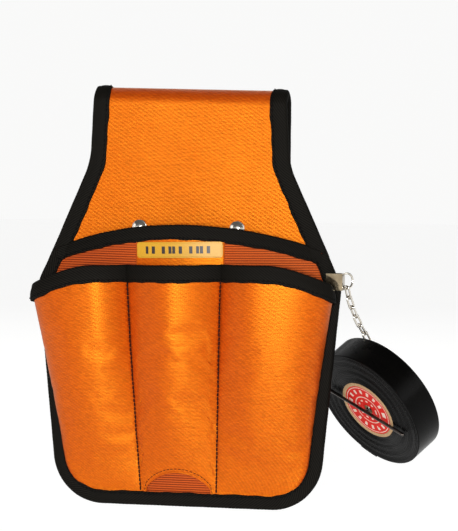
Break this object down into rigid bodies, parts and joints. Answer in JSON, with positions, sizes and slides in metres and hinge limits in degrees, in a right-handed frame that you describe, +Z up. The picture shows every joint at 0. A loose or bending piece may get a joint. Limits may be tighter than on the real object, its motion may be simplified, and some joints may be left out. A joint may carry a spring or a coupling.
{
  "type": "electrician tool pouch",
  "caption": "Canvas belt pouch with a fold-over belt loop, a middle pocket, a channelled front pocket, bound edges and a tape roll on a chain with a toggle bar.",
  "frame": {"origin": "where the belt bears: the middle of the underside of the top fold", "axes": "+Z up, the front faces -Y, +X along the belt towards the tape roll's side"},
  "size_m": [0.2427, 0.1036, 0.2524],
  "materials": {
    "canvas": "coarse woven nylon with a soft sheen",
    "ribbed_cloth": "ribbed woven cloth",
    "binding": "twill binding tape",
    "lining": "plain woven lining",
    "board": "fibre board",
    "thread": "twisted thread",
    "label": "woven satin label",
    "nickel": "nickel plate",
    "pvc_tape": "glossy PVC tape",
    "card": "wound card",
    "printed_card": "printed card disc"
  },
  "bodies": {
    "pouch": {"back_canvas": "canvas", "stiffener_board": "board", "back_lining": "lining", "belt_loop": "canvas", "loop_edge_binding_left": "binding", "loop_edge_binding_right": "binding", "loop_hem_binding": "binding", "rivet_caps": "nickel", "rivet_posts": "nickel", "middle_pocket": "ribbed_cloth", "middle_pocket_binding": "binding", "front_pocket": "canvas", "front_pocket_binding": "binding", "upper_left_edge_binding": "binding", "upper_right_edge_binding": "binding", "lower_edge_binding": "binding", "label": "label", "channel_stitch_left": "thread", "channel_stitch_right": "thread", "bar_tacks": "thread", "tape_clip": "nickel"},
    "ring": {"clip_ring": "nickel"},
    "chain_link_1": {"chain_link_1": "nickel"},
    "chain_link_2": {"chain_link_2": "nickel"},
    "chain_link_3": {"chain_link_3": "nickel"},
    "chain_link_4": {"chain_link_4": "nickel"},
    "chain_link_5": {"chain_link_5": "nickel"},
    "lower_chain": {"chain_behind_roll": "nickel", "chain_through_core": "nickel"},
    "tape_roll": {"tape_winding": "pvc_tape", "tape_core": "card", "core_label": "printed_card"},
    "toggle": {"toggle_bar": "nickel"}
  },
  "joints": [
    {"name": "ring_turn", "type": "hinge", "parent": "pouch", "child": "ring", "pos_m": [0.09152, -0.00142, -0.1108], "axis": [0, 0, 1], "range_deg": [-55, 0]},
    {"name": "chain_swing", "type": "hinge", "parent": "ring", "child": "chain_link_1", "pos_m": [0.0946, 0.002, -0.1138], "axis": [0.7431, -0.6691, 0], "range_deg": [0, 10]},
    {"name": "link_2_follow", "type": "hinge", "parent": "chain_link_1", "child": "chain_link_2", "pos_m": [0.09606, 0.00362, -0.12139], "axis": [0.7431, -0.6691, 0], "range_deg": [0, 10]},
    {"name": "link_3_follow", "type": "hinge", "parent": "chain_link_2", "child": "chain_link_3", "pos_m": [0.09724, 0.00493, -0.12575], "axis": [0.7431, -0.6691, 0], "range_deg": [0, 10]},
    {"name": "link_4_follow", "type": "hinge", "parent": "chain_link_3", "child": "chain_link_4", "pos_m": [0.09964, 0.00759, -0.13279], "axis": [0.7431, -0.6691, 0], "range_deg": [0, 10]},
    {"name": "link_5_follow", "type": "hinge", "parent": "chain_link_4", "child": "chain_link_5", "pos_m": [0.1013, 0.00944, -0.13678], "axis": [0.7431, -0.6691, 0], "range_deg": [0, 10]},
    {"name": "roll_tilt", "type": "hinge", "parent": "chain_link_5", "child": "lower_chain", "pos_m": [0.10441, 0.01289, -0.14317], "axis": [0.7431, -0.6691, 0], "range_deg": [0, 35]},
    {"name": "roll_spin", "type": "hinge", "parent": "lower_chain", "child": "tape_roll", "pos_m": [0.11161, 0.0209, -0.18376], "axis": [-0.5637, -0.6261, -0.5388], "continuous": true},
    {"name": "bar_twist", "type": "hinge", "parent": "lower_chain", "child": "toggle", "pos_m": [0.10804, 0.01693, -0.1872], "axis": [-0.5637, -0.6261, -0.5388], "range_deg": [-12, 12]}
  ],
  "couplings": [
    {"joint": "link_2_follow", "follows": "chain_swing", "ratio": 1},
    {"joint": "link_3_follow", "follows": "chain_swing", "ratio": 1},
    {"joint": "link_4_follow", "follows": "chain_swing", "ratio": 1},
    {"joint": "link_5_follow", "follows": "chain_swing", "ratio": 1}
  ]
}
